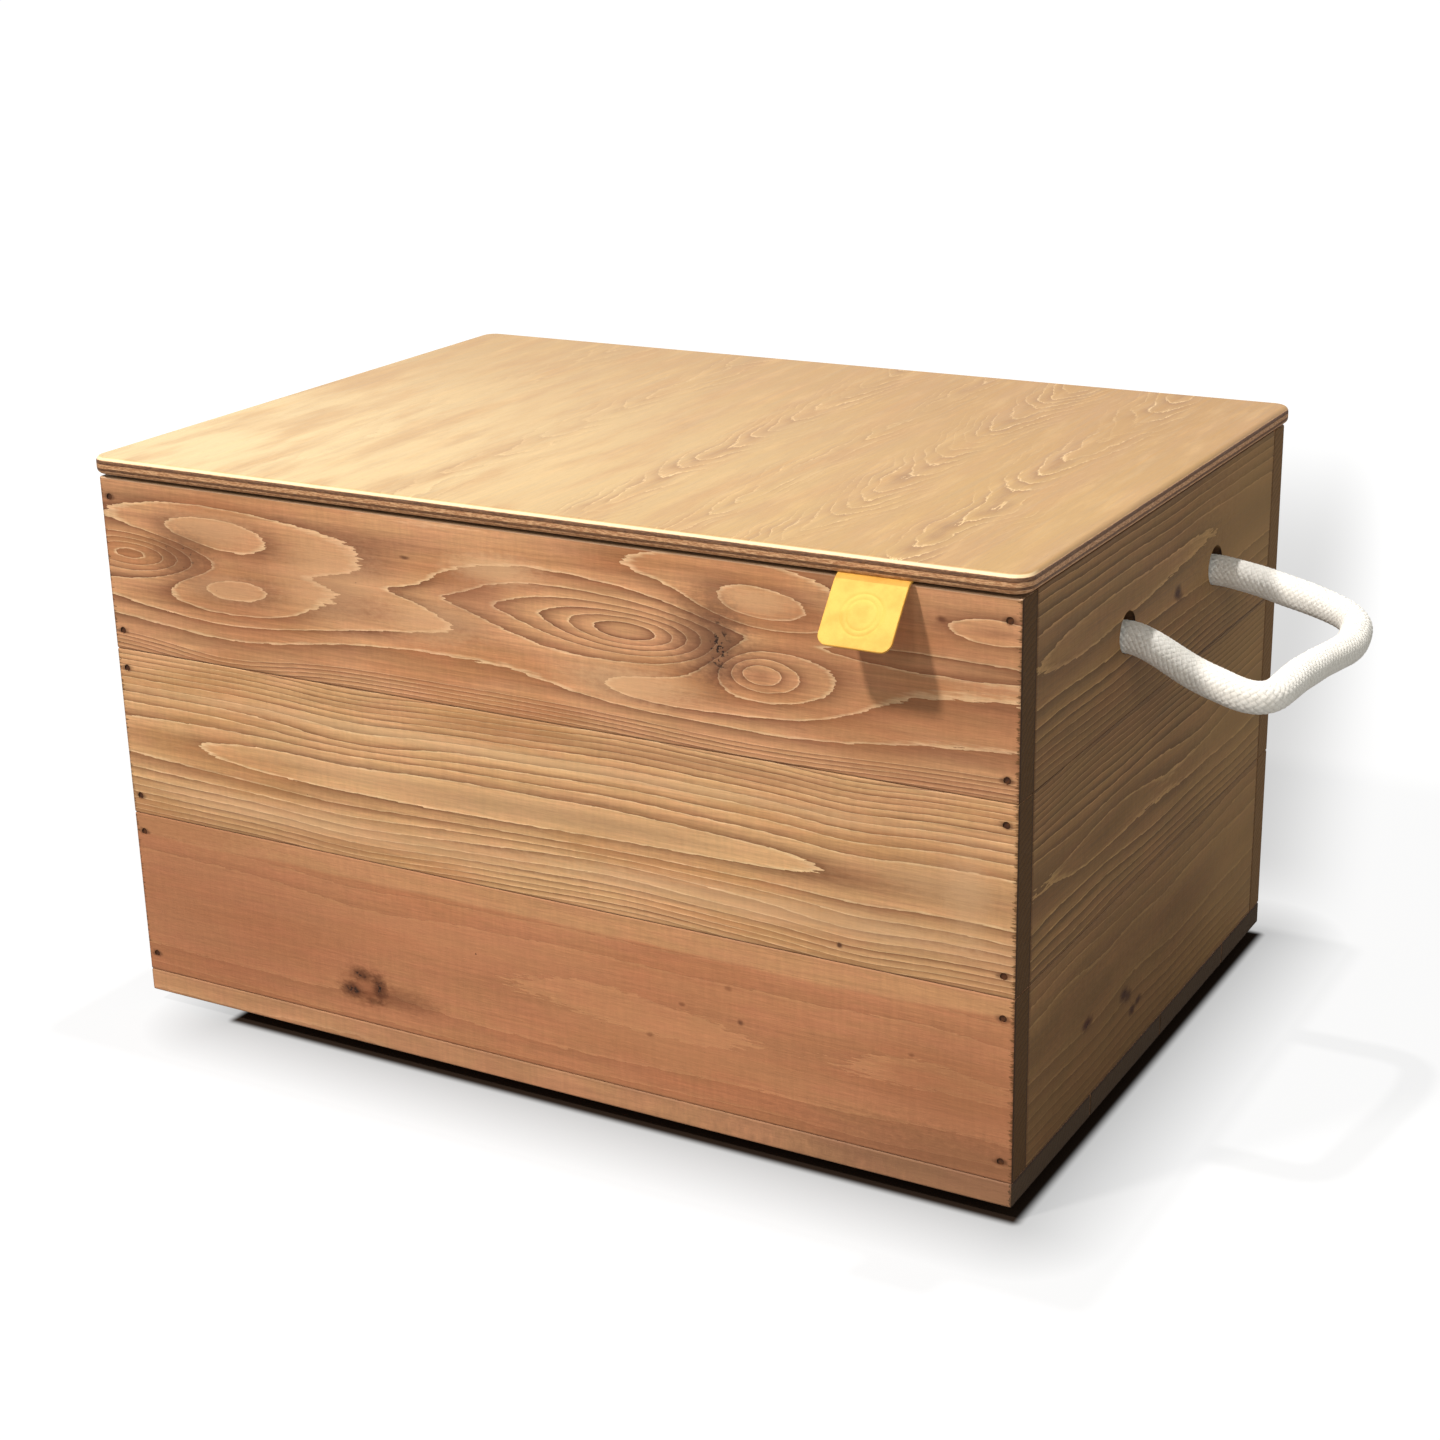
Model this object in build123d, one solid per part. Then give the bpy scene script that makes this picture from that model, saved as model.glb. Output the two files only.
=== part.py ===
"""Chuck box: a crate of three boards to a side, with a lift-off plywood lid and rope handles.

Millimetres, +Z up, +X to the right along the front, +Y to the back. The origin is on the floor,
under the middle of the overall bounding box, handles and pull tab included.
Inside this file the box itself is built about x = 0, y = 0, with z = 0 at the underside of its
floor, and every node is moved into the part's own frame as it is written.
"""

from build123d import *
import math
import os

# Crate
box_length = 494.0
box_depth = 345.0
board_height = 89.5
face_board_thickness = 16.0
end_board_thickness = 16.0
board_edge_round = 1.0

# Nails that hold each face board to the ends of the end boards
nail_from_end = 5.5
nail_from_board_edge = 10.0
nail_shank_radius = 1.1
nail_head_radius = 1.7
nail_head_thickness = 0.9
nail_length = 36.0
nail_recess = 0.6

# Corner posts, which tie the three levels together inside
post_side = 24.0
post_stands_proud = 1.5
post_screw_spacing = 14.0

# Floor: slats along the box, nailed up into its walls, the last one ripped narrower
slat_count = 4
slat_thickness = 12.0
slat_gap = 0.5
last_slat_width = 61.5
floor_nail_length = 32.0
floor_nail_from_end = 10.5
floor_nail_from_slat_edge = 22.0
wall_nail_from_face = 8.0
wall_nail_from_end = 87.0
wall_nail_count = 5

# Glides under the floor
glide_height = 7.0
glide_radius = 8.0
glide_from_end = 26.0
glide_from_face = 25.0
glide_edge_round = 1.2
glide_pin_radius = 1.2
glide_pin_length = 9.0

# Countersunk wood screws
screw_shank_radius = 1.75
screw_head_radius = 3.5
screw_head_height = 2.4
screw_slot_width = 0.8
screw_slot_depth = 1.0
screw_slot_share = 0.8
screw_bite = 10.0
lid_screw_bite = 5.5

# Lid
lid_overhang = 3.0
lid_thickness = 9.0
lid_corner_radius = 9.0
lid_edge_round = 3.0
lid_cleat_width = 20.0
lid_cleat_thickness = 12.0
lid_cleat_side_play = 1.5
lid_cleat_end_play = 3.0
lid_cleat_screw_spacing = 100.0

# Leather pull tab
tab_width = 34.0
tab_thickness = 1.2
tab_centre_from_right_end = 66.0
tab_reach_inside = 24.0
tab_past_face = 0.9
tab_flap_length = 32.0
tab_flap_from_vertical = 40.0
tab_corner_radius = 5.0
tab_hinge_gap = 0.3
tack_spacing = 20.0
tack_from_inner_end = 9.0
tack_head_radius = 3.2
tack_head_thickness = 0.8
tack_shank_radius = 0.8
tack_length = 6.0

# Rope handles
rope_radius = 7.5
rope_hole_radius = 10.0
rope_hole_height = 231.5
rope_rest_gap = 0.3
handle_pitch = 120.0
handle_set_back = 10.0
handle_hinge_gap = 0.3
knot_radius = 19.0
knot_length = 28.0
knot_edge_round = 8.0
knot_tail_length = 14.0
knot_tail_radius = 7.0
# The loop's route: distance out from the end board, distance along it from the middle of the two
# holes, and height above the rope's own centre in its hole.
handle_route = (
    (33.0, -60.0, -11.0),
    (75.0, -59.0, -20.0),
    (77.0, 1.0, -22.5),
    (73.0, 59.0, -17.0),
    (31.0, 60.0, -5.0),
)
handle_arc_share = 0.45

# Fits
fastener_play = 0.05

# How far a cut runs past the surface that it opens
cut_past = 1.0

# Worked out from the sizes above
crate_height = slat_thickness + 3 * board_height
half_length = box_length / 2
half_depth = box_depth / 2
inner_half_length = half_length - end_board_thickness
inner_half_depth = half_depth - face_board_thickness
levels = {
    name: (slat_thickness + k * board_height, slat_thickness + (k + 1) * board_height)
    for k, name in enumerate(("bottom", "middle", "top"))
}
slat_width = (box_depth - last_slat_width) / (slat_count - 1) - slat_gap
post_x = inner_half_length - post_side / 2
post_y = inner_half_depth - post_side / 2
lid_bottom = crate_height + post_stands_proud
lid_top = lid_bottom + lid_thickness
tab_x = half_length - tab_centre_from_right_end
tab_hinge_y = -half_depth - tab_past_face - tab_hinge_gap - tab_thickness / 2
tab_hinge_z = lid_bottom - tab_thickness / 2
tab_tilt = math.radians(tab_flap_from_vertical)
tab_front_y = (
    tab_hinge_y
    - tab_flap_length * math.sin(tab_tilt)
    - tab_thickness / 2 * math.cos(tab_tilt)
)
rope_height = rope_hole_height - rope_hole_radius + rope_radius + rope_rest_gap
handle_hinge_out = rope_radius + handle_hinge_gap
to_part_frame = Pos(0, -(tab_front_y + half_depth + lid_overhang) / 2, glide_height)


def block(low, high, edge_round=0.0):
    """A rectangular solid between two corners, with all its edges rounded."""
    size = [b - a for a, b in zip(low, high)]
    middle = [(a + b) / 2 for a, b in zip(low, high)]
    solid = Box(*size)
    if edge_round:
        solid = fillet(solid.edges(), edge_round)
    return Pos(*middle) * solid


def rod(radius, top, bottom):
    """A cylinder on the Z axis between two heights."""
    return Pos(0, 0, (top + bottom) / 2) * Cylinder(radius, top - bottom)


def facing(point, outward):
    """A plane on a surface, whose own +Z leaves the wood."""
    return Plane(origin=point, z_dir=outward)


def nail(length):
    """A flat-headed nail driven along -Z, its head sunk below the surface at z = 0."""
    head = rod(nail_head_radius, -nail_recess, -nail_recess - nail_head_thickness)
    return head + rod(nail_shank_radius, -nail_recess, -nail_recess - length)


def nail_hole(length):
    """The wood that a nail takes away, open at the surface."""
    shelf = -nail_recess - nail_head_thickness
    mouth = rod(nail_head_radius + fastener_play, cut_past, shelf)
    bottom = -nail_recess - length - fastener_play
    return mouth + rod(nail_shank_radius + fastener_play, 0.0, bottom)


def screw(length):
    """A countersunk screw driven along -Z, its head flush with z = 0."""
    head = Pos(0, 0, -screw_head_height / 2) * Cone(
        screw_shank_radius, screw_head_radius, screw_head_height
    )
    slot_length = 2 * screw_slot_share * screw_head_radius
    slot = Box(slot_length, screw_slot_width, 2 * screw_slot_depth)
    return head + rod(screw_shank_radius, -screw_head_height, -length) - slot


def screw_hole(length):
    """The wood that a screw takes away."""
    grown = screw_head_radius + fastener_play
    cone = Pos(0, 0, -screw_head_height / 2) * Cone(
        screw_shank_radius + fastener_play, grown, screw_head_height
    )
    mouth = rod(grown, cut_past, 0.0)
    bottom = -length - fastener_play
    return mouth + cone + rod(screw_shank_radius + fastener_play, 0.0, bottom)


def placed(shape, planes):
    """Copies of a shape, one on each plane."""
    return [plane * shape for plane in planes]


def drilled(solid, holes):
    """A solid less the holes that meet it."""
    box = solid.bounding_box()
    near = [h for h in holes if boxes_meet(box, h.bounding_box())]
    return solid - near if near else solid


def boxes_meet(a, b):
    return all(
        getattr(a.min, k) < getattr(b.max, k) and getattr(b.min, k) < getattr(a.max, k)
        for k in "XYZ"
    )


def face_nail_planes(side):
    """Where the nails enter the front (side -1) or the back (side 1), two to a board."""
    x = half_length - nail_from_end
    return [
        facing((end * x, side * half_depth, z), (0, side, 0))
        for end in (-1, 1)
        for low, high in levels.values()
        for z in (low + nail_from_board_edge, high - nail_from_board_edge)
    ]


def post_screw_planes(end, side):
    """Where the screws enter one corner post: one into each board that meets it."""
    planes = []
    for low, high in levels.values():
        middle = (low + high) / 2
        into_end = (end * (post_x - post_side / 2), side * post_y, middle)
        up = middle + post_screw_spacing
        into_face = (end * post_x, side * (post_y - post_side / 2), up)
        planes += [facing(into_end, (-end, 0, 0)), facing(into_face, (0, -side, 0))]
    return planes


def slat_edges():
    """The front and back edge of each floor slat, from the front."""
    fronts = [-half_depth + k * (slat_width + slat_gap) for k in range(slat_count)]
    backs = [y + slat_width for y in fronts[:-1]] + [half_depth]
    return list(zip(fronts, backs))


def floor_nail_planes():
    """Where nails enter the floor from below, up into the end boards and the face boards."""
    x = half_length - floor_nail_from_end
    into_ends = [
        (end * x, y)
        for end in (-1, 1)
        for front, back in slat_edges()
        for y in (front + floor_nail_from_slat_edge, back - floor_nail_from_slat_edge)
    ]
    reach = half_length - wall_nail_from_end
    step = 2 * reach / (wall_nail_count - 1)
    into_faces = [
        (-reach + k * step, side * (half_depth - wall_nail_from_face))
        for side in (-1, 1)
        for k in range(wall_nail_count)
    ]
    return [facing((x, y, 0), (0, 0, -1)) for x, y in into_ends + into_faces]


def lid_screw_planes(end):
    """Where the screws enter a lid cleat from below."""
    x = end * (inner_half_length - lid_cleat_side_play - lid_cleat_width / 2)
    z = lid_bottom - lid_cleat_thickness
    return [
        facing((x, k * lid_cleat_screw_spacing, z), (0, 0, -1)) for k in (-1, 0, 1)
    ]


def tack_planes():
    """Where the tacks enter the pull tab from below."""
    y = -inner_half_depth + tab_reach_inside - tack_from_inner_end
    z = lid_bottom - tab_thickness
    return [facing((tab_x + k * tack_spacing / 2, y, z), (0, 0, -1)) for k in (-1, 1)]


def tack(play=0.0):
    """A low-headed tack driven along -Z, with its head standing on z = 0."""
    shank = rod(tack_shank_radius + play, 0.0, -tack_length - play)
    if play:
        return shank
    return shank + rod(tack_head_radius, tack_head_thickness, 0.0)


def glide_pin(play=0.0):
    """The pin of a glide, standing up from the floor's underside at z = 0."""
    return rod(glide_pin_radius + play, glide_pin_length + play, 0.0)


def glide():
    """A round nail-on glide under z = 0."""
    disc = rod(glide_radius, 0.0, -glide_height)
    disc = fillet(disc.edges().sort_by(Axis.Z)[0], glide_edge_round)
    return disc + glide_pin()


def rope_hole_centres(end):
    return [
        (end * (half_length - end_board_thickness / 2), y, rope_hole_height)
        for y in (handle_set_back - handle_pitch / 2, handle_set_back + handle_pitch / 2)
    ]


def handle_points():
    """The loop's route at the right-hand end, from one hinge ball to the other."""
    ends = [(handle_hinge_out, k * handle_pitch / 2, 0.0) for k in (-1, 1)]
    route = [ends[0], *handle_route, ends[1]]
    return [
        Vector(half_length + out, handle_set_back + along, rope_height + up)
        for out, along, up in route
    ]


def arc_radii(points):
    """One radius for each corner of a route, as large as its two runs allow."""
    radii = []
    for a, b, c in zip(points, points[1:], points[2:]):
        turn = math.radians((b - a).get_angle(c - b))
        shorter = min((b - a).length, (c - b).length)
        radii.append(handle_arc_share * shorter / math.tan(turn / 2))
    return radii


def handle_loop():
    """The free loop of rope at the right-hand end, with a ball at each root."""
    points = handle_points()
    radii = arc_radii(points)
    path = FilletPolyline(*points, radius=radii)
    section = Plane(origin=path @ 0, z_dir=path % 0) * Circle(rope_radius)
    tube = sweep(section, path=path)
    expected = math.pi * rope_radius**2 * path.length
    print("handle loop length", round(path.length, 1), "mm")
    print("handle loop arc radii", [round(r, 1) for r in radii])
    print("handle loop tube volume over section times length", tube.volume / expected)
    balls = [Pos(*p) * Sphere(rope_radius) for p in (points[0], points[-1])]
    return tube + balls[0] + balls[1]


def along_x(end, shape, x, y, z):
    """A shape made along Z, laid along X with its own +Z pointing out of the box."""
    return Plane(origin=(end * x, y, z), z_dir=(end, 0, 0)) * shape


def handle_stubs(end):
    """The two lengths of rope inside the holes of an end board."""
    stub = rod(rope_radius, 0.0, -end_board_thickness)
    return [
        along_x(end, stub, half_length, y, rope_height)
        for _, y, _ in rope_hole_centres(end)
    ]


def handle_knots(end):
    """The stopper knots that bear on the inside of an end board, with their tails."""
    lump = rod(knot_radius, 0.0, -knot_length)
    lump = fillet(lump.edges().filter_by(GeomType.CIRCLE), knot_edge_round)
    tail = rod(knot_tail_radius, -knot_length / 2, -knot_length - knot_tail_length)
    return [
        along_x(end, lump + tail, inner_half_length, y, rope_height)
        for _, y, _ in rope_hole_centres(end)
    ]


def lid_panel():
    half_x = half_length + lid_overhang
    half_y = half_depth + lid_overhang
    panel = block((-half_x, -half_y, lid_bottom), (half_x, half_y, lid_top))
    panel = fillet(panel.edges().filter_by(Axis.Z), lid_corner_radius)
    rims = panel.faces().filter_by(Axis.Z).edges()
    return fillet(rims, lid_edge_round)


def lid_cleat(end):
    outer = inner_half_length - lid_cleat_side_play
    inner = outer - lid_cleat_width
    reach = inner_half_depth - post_side - lid_cleat_end_play
    low = (min(end * inner, end * outer), -reach, lid_bottom - lid_cleat_thickness)
    high = (max(end * inner, end * outer), reach, lid_bottom)
    return block(low, high, board_edge_round)


def tab_root():
    low = (tab_x - tab_width / 2, -half_depth - tab_past_face, lid_bottom - tab_thickness)
    high = (tab_x + tab_width / 2, -inner_half_depth + tab_reach_inside, lid_bottom)
    return block(low, high)


def tab_flap():
    """The free end of the tab: a plate that leans out from its bend, with a rounded root."""
    plate = Box(tab_width, tab_thickness, tab_flap_length)
    plate = Pos(0, 0, -tab_flap_length / 2) * plate
    corners = plate.edges().filter_by(Axis.Y).group_by(Axis.Z)[0]
    plate = fillet(corners, tab_corner_radius)
    root = Rot(0, 90, 0) * Cylinder(tab_thickness / 2, tab_width)
    lean = Rot(-tab_flap_from_vertical, 0, 0) * (plate + root)
    return Pos(tab_x, tab_hinge_y, tab_hinge_z) * lean


def corner_name(end, side):
    return f"{'front' if side < 0 else 'back'}_{'left' if end < 0 else 'right'}"


corners = [(end, side) for side in (-1, 1) for end in (-1, 1)]
post_screw_length = post_side + screw_bite
lid_screw_length = lid_cleat_thickness + lid_screw_bite

face_planes = {side: face_nail_planes(side) for side in (-1, 1)}
post_planes = {c: post_screw_planes(*c) for c in corners}
lid_planes = {end: lid_screw_planes(end) for end in (-1, 1)}
glide_places = [
    Pos(end * (half_length - glide_from_end), side * (half_depth - glide_from_face), 0)
    for end, side in corners
]

every_face_hole = placed(nail_hole(nail_length), face_planes[-1] + face_planes[1])
every_floor_hole = placed(nail_hole(floor_nail_length), floor_nail_planes())
every_post_hole = placed(screw_hole(post_screw_length), sum(post_planes.values(), []))
every_glide_hole = [place * glide_pin(fastener_play) for place in glide_places]
board_holes = every_face_hole + every_floor_hole + every_post_hole

nodes = {}
for level, (low, high) in levels.items():
    for side, name in ((-1, "front"), (1, "back")):
        near, far = sorted((side * inner_half_depth, side * half_depth))
        board = block(
            (-half_length, near, low), (half_length, far, high), board_edge_round
        )
        nodes[f"{name}_board_{level}"] = drilled(board, board_holes)
    for end, name in ((-1, "left"), (1, "right")):
        near, far = sorted((end * inner_half_length, end * half_length))
        board = block(
            (near, -inner_half_depth, low), (far, inner_half_depth, high), board_edge_round
        )
        bores = [
            along_x(1, Cylinder(rope_hole_radius, 2 * end_board_thickness), *centre)
            for centre in rope_hole_centres(end)
        ]
        nodes[f"{name}_end_board_{level}"] = drilled(board, board_holes + bores)

for end, side in corners:
    low = (end * post_x - post_side / 2, side * post_y - post_side / 2, slat_thickness)
    high = (end * post_x + post_side / 2, side * post_y + post_side / 2, lid_bottom)
    post = block(low, high, board_edge_round)
    nodes[f"corner_post_{corner_name(end, side)}"] = drilled(post, every_post_hole)

for number, (front, back) in enumerate(slat_edges(), 1):
    low, high = (-half_length, front, 0), (half_length, back, slat_thickness)
    slat = block(low, high, board_edge_round)
    nodes[f"floor_slat_{number}"] = drilled(slat, every_floor_hole + every_glide_hole)

for place, (end, side) in zip(glide_places, corners):
    nodes[f"glide_{corner_name(end, side)}"] = place * glide()

nodes["front_nails"] = placed(nail(nail_length), face_planes[-1])
nodes["back_nails"] = placed(nail(nail_length), face_planes[1])
nodes["floor_nails"] = placed(nail(floor_nail_length), floor_nail_planes())
nodes["post_screws"] = placed(screw(post_screw_length), sum(post_planes.values(), []))

lid_holes = placed(screw_hole(lid_screw_length), lid_planes[-1] + lid_planes[1])
tack_holes = placed(tack(fastener_play), tack_planes())
nodes["lid_panel"] = drilled(lid_panel(), lid_holes + tack_holes)
nodes["lid_cleat_left"] = drilled(lid_cleat(-1), lid_holes)
nodes["lid_cleat_right"] = drilled(lid_cleat(1), lid_holes)
nodes["lid_cleat_screws"] = placed(screw(lid_screw_length), lid_planes[-1] + lid_planes[1])
nodes["pull_tab_root"] = drilled(tab_root(), tack_holes)
nodes["pull_tab_tacks"] = placed(tack(), tack_planes())
nodes["pull_tab_flap"] = tab_flap()

right_loop = handle_loop()
nodes["right_handle_loop"] = right_loop
nodes["left_handle_loop"] = mirror(right_loop, about=Plane.YZ)
for end, name in ((-1, "left"), (1, "right")):
    nodes[f"{name}_handle_stubs"] = handle_stubs(end)
    nodes[f"{name}_handle_knots"] = handle_knots(end)

os.makedirs("parts", exist_ok=True)
for name, shape in nodes.items():
    solids = shape if isinstance(shape, list) else [shape]
    moved = [to_part_frame * s for s in solids]
    whole = moved[0] if len(moved) == 1 else Compound(children=moved)
    export_step(whole, f"parts/{name}.step")
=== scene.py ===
"""Looks of the chuck box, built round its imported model.

Metres, +Z up, +X to the right along the front, +Y to the back, origin on the floor. Patterns are
laid out in millimetres of the same frame.
"""

import math

import bmesh
import bpy
from mathutils import Matrix, Vector


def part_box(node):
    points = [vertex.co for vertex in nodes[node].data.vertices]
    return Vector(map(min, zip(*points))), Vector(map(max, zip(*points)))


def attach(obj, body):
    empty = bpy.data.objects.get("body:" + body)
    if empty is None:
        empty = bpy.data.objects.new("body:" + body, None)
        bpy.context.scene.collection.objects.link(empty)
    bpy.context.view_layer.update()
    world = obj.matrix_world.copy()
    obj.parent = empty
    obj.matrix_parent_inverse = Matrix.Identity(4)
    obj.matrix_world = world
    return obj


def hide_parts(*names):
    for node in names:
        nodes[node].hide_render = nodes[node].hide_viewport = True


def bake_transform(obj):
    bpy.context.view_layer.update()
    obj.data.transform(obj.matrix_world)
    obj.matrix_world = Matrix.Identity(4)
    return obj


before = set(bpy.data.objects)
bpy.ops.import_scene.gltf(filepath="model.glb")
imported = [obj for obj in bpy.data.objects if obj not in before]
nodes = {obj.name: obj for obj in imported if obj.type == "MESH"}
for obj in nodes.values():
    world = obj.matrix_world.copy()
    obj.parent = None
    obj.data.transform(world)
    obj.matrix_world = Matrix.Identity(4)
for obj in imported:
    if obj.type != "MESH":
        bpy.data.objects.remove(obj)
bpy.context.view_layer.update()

MM = 0.001
ORIGIN = (0, 0, 0)
WHITE = (1, 1, 1, 1)
FAR = 1e6  # a reach past the whole box

# Camera
CAMERA_PLACE = (0.621, -1.0641, 0.582)
CAMERA_RIGHT = (0.8713, 0.4902, -0.0214)
CAMERA_FORWARD = (-0.4684, 0.8179, -0.3342)
LENS = 62.63
SENSOR = 36

# Lamps: the point each is aimed at, the way its light travels, its distance, size, power and colour
LAMPS = {
    "key": ((0.18, -0.18, 0.26), (0.347, 0.538, -0.768), 2.6, 0.24, 63, (1, 0.93, 0.84)),
    "top": ((0.26, 0, 0.24), (0.18, -0.08, -0.98), 1.9, 0.06, 28.5, (1, 0.95, 0.88)),
    "front": ((0.18, -0.18, 0.2), (0.03, 0.86, -0.5), 2.4, 0.2, 4, (1, 0.94, 0.86)),
    "side": ((0.25, 0, 0.18), (-0.8, 0.54, -0.25), 2.4, 1.6, 14, (1, 0.94, 0.84)),
}
SKY_COLOUR = (1, 1, 0.9, 1)
SKY_STRENGTH = 0.24

# Floor, with shade painted on it: dark under the box, dimmer round its foot, and a little dimmer
# out to a metre from it
FLOOR_HALF_SIZE = 8
FLOOR_GLOW = 0.86
FLOOR_FOOT_SHADE_GLOW = 0.5
FLOOR_FOOT_SHADE = 0.05  # how far out the shade painted round the box's foot reaches
FLOOR_EDGE = 0.006
FLOOR_BRIGHTENS = (0.1, 1.1)
FLOOR_TINT = (0.11, 0.1133, 0.121, 1)
# the dark colour painted under the box, where its shade falls
FLOOR_PAINTED_SHADE = (0.03, 0.02, 0.015, 1)
FLOOR_BOUNCE = (0.26, 0.26, 0.26, 1)
# The shade painted under the box leaves the floor lit under this much of its left end
LIT_END = 55
# The shade painted on the floor behind the box fades over two edges: a point on each, the way out
# across it, and where along that way it fades. It also fades in and out with the distance to the
# back.
DUSK_EDGES = (
    ((0.17, 0.34, 0), (0.97, 0.22, 0), (0.01, 0.1)),
    ((-0.25, 0.18, 0), (-0.82, -0.57, 0), (-0.2, 0)),
)
DUSK_NEAR = (0.15, 0.3)
DUSK_FAR = (0.85, 1.55)
DUSK_STRENGTH = 0.35

# The box, in millimetres
CORNERS = ("front_left", "front_right", "back_left", "back_right")
LEVELS = dict(bottom=63.75, middle=153.25, top=242.75)  # the middles of the wall boards
BOX_SHIFT = 9.914
BOX_HALF_LENGTH = 247
BOX_HALF_DEPTH = 172.5
BOARD_HEIGHT = 89.5
WALL_THICKNESS = 16
NAIL_ALONG = 241.5
NAIL_ACROSS = 34.75
SLAT_EDGES = (-172.5, -78.25, 16.25, 110.75, 172.5)
SLAT_HEIGHT = 13
SLAT_HALF_THICKNESS = 6
POST_PLACE = (219, 144.5, 154)
POST_HALF = (135, 12, 12)
LID_TOP = 298
LID_THICKNESS = 9
LID_DARK_PLIES = ((1.7, 3.5), (5.5, 6.8))  # depths of their two faces under the lid's top

# Rope
ROPE_DIAMETER = 15
ROPE_HEIGHT = 236.3
ROPE_MIDDLE = 19.914
ROPE_HOLE = 60  # from the middle of the two holes to each
ROPE_ROUND_STEPS = 104
ROPE_STEP = 0.6
ROPE_CELLS = 13
ROPE_RELIEF = 0.5
ROPE_MEAN_HEIGHT = 0.75
BRAID_SLOPE = 1.25  # a braid cell's width over its length
BRAID_SINK = 0.45  # how far a cell's ends sink under its middle
BRAID_YARNS = 5
# From one knot to the other: distance out from the end board, distance along it from the middle
# of the two holes, and height above the rope's centre in its hole.
ROPE_ROUTE = (
    (-26, -60, 0),
    (-8, -60, 0),
    (7.8, -60, 0),
    (31, -60, -13),
    (65, -61, -22.5),
    (69, -30, -18),
    (74, 2, -18),
    (78, 30, -20),
    (72.5, 60, -15),
    (31, 60, -4.5),
    (7.8, 60, 0),
    (-8, 60, 0),
    (-26, 60, 0),
)
KNOT_ROPE = 13.4  # the rope's diameter where the knot squeezes it
KNOT_RADIUS = 11.6
KNOT_TURNS = 2.1
KNOT_STEPS = 17
KNOT_START = 7
KNOT_LENGTH = 14
KNOT_FIRST_ANGLE = 0.6
KNOT_TUCK = (6, 0.55)  # how far on, and how close in, the last wrap is tucked
KNOT_TAIL = ((33, 1), (41, 0))  # its depth behind the board, and how far it lies off the middle

# Pull tab
TAB_MIDDLE = 181
TAB_WIDTH = 34
TAB_THICKNESS = 1.2
TAB_HINGE = (-164.386, 288.4)
TAB_ROOT = 22
TAB_FLAP = 32
TAB_LEAN = 40
TAB_CURL = 4
TAB_FOLD = 3
TAB_FOLD_STEPS = 24
TAB_CORNER = 5
TAB_CUTS_ALONG = 108
TAB_CUTS_ACROSS = 68
TAB_SAG = 0.25
TAB_PRESSED_MIDDLE = 17
TAB_PRESSED_RINGS = ((9.5, 0.7, 0.26), (7, 0.6, 0.22))  # radius, half width and depth


# ---- node helpers


def srgb(code):
    """A linear colour from a plain six-digit colour code."""
    parts = [int(code[k : k + 2], 16) / 255 for k in (0, 2, 4)]
    linear = [p / 12.92 if p <= 0.04045 else ((p + 0.055) / 1.055) ** 2.4 for p in parts]
    return (*linear, 1)


def feed(socket, value):
    """Links a signal to a socket, or sets the socket to a plain value or a colour code's colour."""
    if isinstance(value, Signal):
        socket.id_data.links.new(value.socket, socket)
    else:
        socket.default_value = srgb(value) if isinstance(value, str) else value


def output(tree, kind, *values, out=0, **settings):
    """Places a shader node, feeds its first inputs, None apart, and returns one of its outputs."""
    node = tree.nodes.new("ShaderNode" + kind)
    for name, setting in settings.items():
        setattr(node, name, setting)
    for socket, value in zip(node.inputs, values):
        if value is not None:
            feed(socket, value)
    return Signal(node.outputs[out])


def calculate(tree, operation, *values):
    """The result of a math node, or of a vector math node where a vector goes in."""
    sockets = [value.socket.type for value in values if isinstance(value, Signal)]
    if "VECTOR" not in sockets and not any(isinstance(value, tuple) for value in values):
        return output(tree, "Math", *values, operation=operation)
    values = [(value,) * 3 if isinstance(value, (int, float)) else value for value in values]
    out = "Value" if operation in ("DOT_PRODUCT", "LENGTH") else "Vector"
    return output(tree, "VectorMath", *values, out=out, operation=operation)


def join(tree, x, y, z):
    return output(tree, "CombineXYZ", x, y, z)


def arithmetic(operation):
    """An operator of signals that places a math node."""
    return lambda self, *other: calculate(self.tree, operation, self, *other)


class Signal:
    """A number, vector or colour in a node tree. Arithmetic on signals places math nodes."""

    __add__ = __radd__ = arithmetic("ADD")
    __sub__ = arithmetic("SUBTRACT")
    __mul__ = __rmul__ = arithmetic("MULTIPLY")
    __truediv__ = arithmetic("DIVIDE")
    __pow__ = arithmetic("POWER")
    __abs__ = arithmetic("ABSOLUTE")

    def __init__(self, socket):
        self.socket = socket
        self.tree = socket.id_data

    def __rsub__(self, other):
        return calculate(self.tree, "SUBTRACT", other, self)

    def calc(self, operation, *others):
        return calculate(self.tree, operation, self, *others)

    def split(self):
        """A vector's three parts."""
        return [output(self.tree, "SeparateXYZ", self, out=axis) for axis in "XYZ"]

    def span(self, low, high, out_low=0, out_high=1, smooth=True):
        """Where it lies between low and high, as a number from out_low to out_high."""
        kind = "SMOOTHSTEP" if smooth else "LINEAR"
        ends = (low, high, out_low, out_high)
        return output(self.tree, "MapRange", self, *ends, interpolation_type=kind)

    def noise(self, stretch, detail=3, rough=0.5):
        """Noise at this place, with grains of the sizes in stretch."""
        scaled = self * tuple(1 / s for s in stretch)
        return output(self.tree, "TexNoise", scaled, None, 1, detail, rough)

    def drift(self, stretch, detail, rough, size):
        """Noise about 0, of the given size."""
        return (self.noise(stretch, detail, rough) - 0.5) * size

    def mix(self, first, second):
        """The first colour where this mask is 0, and the second where it is 1."""
        return blend(self.tree, self, first, second, "MIX")

    def tint(self, mask, tone):
        """This colour, with another laid over it through a mask."""
        return mask.mix(self, tone)

    def shade(self, light):
        """This colour times a grey or another colour."""
        return blend(self.tree, 1, self, light, "MULTIPLY")


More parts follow.
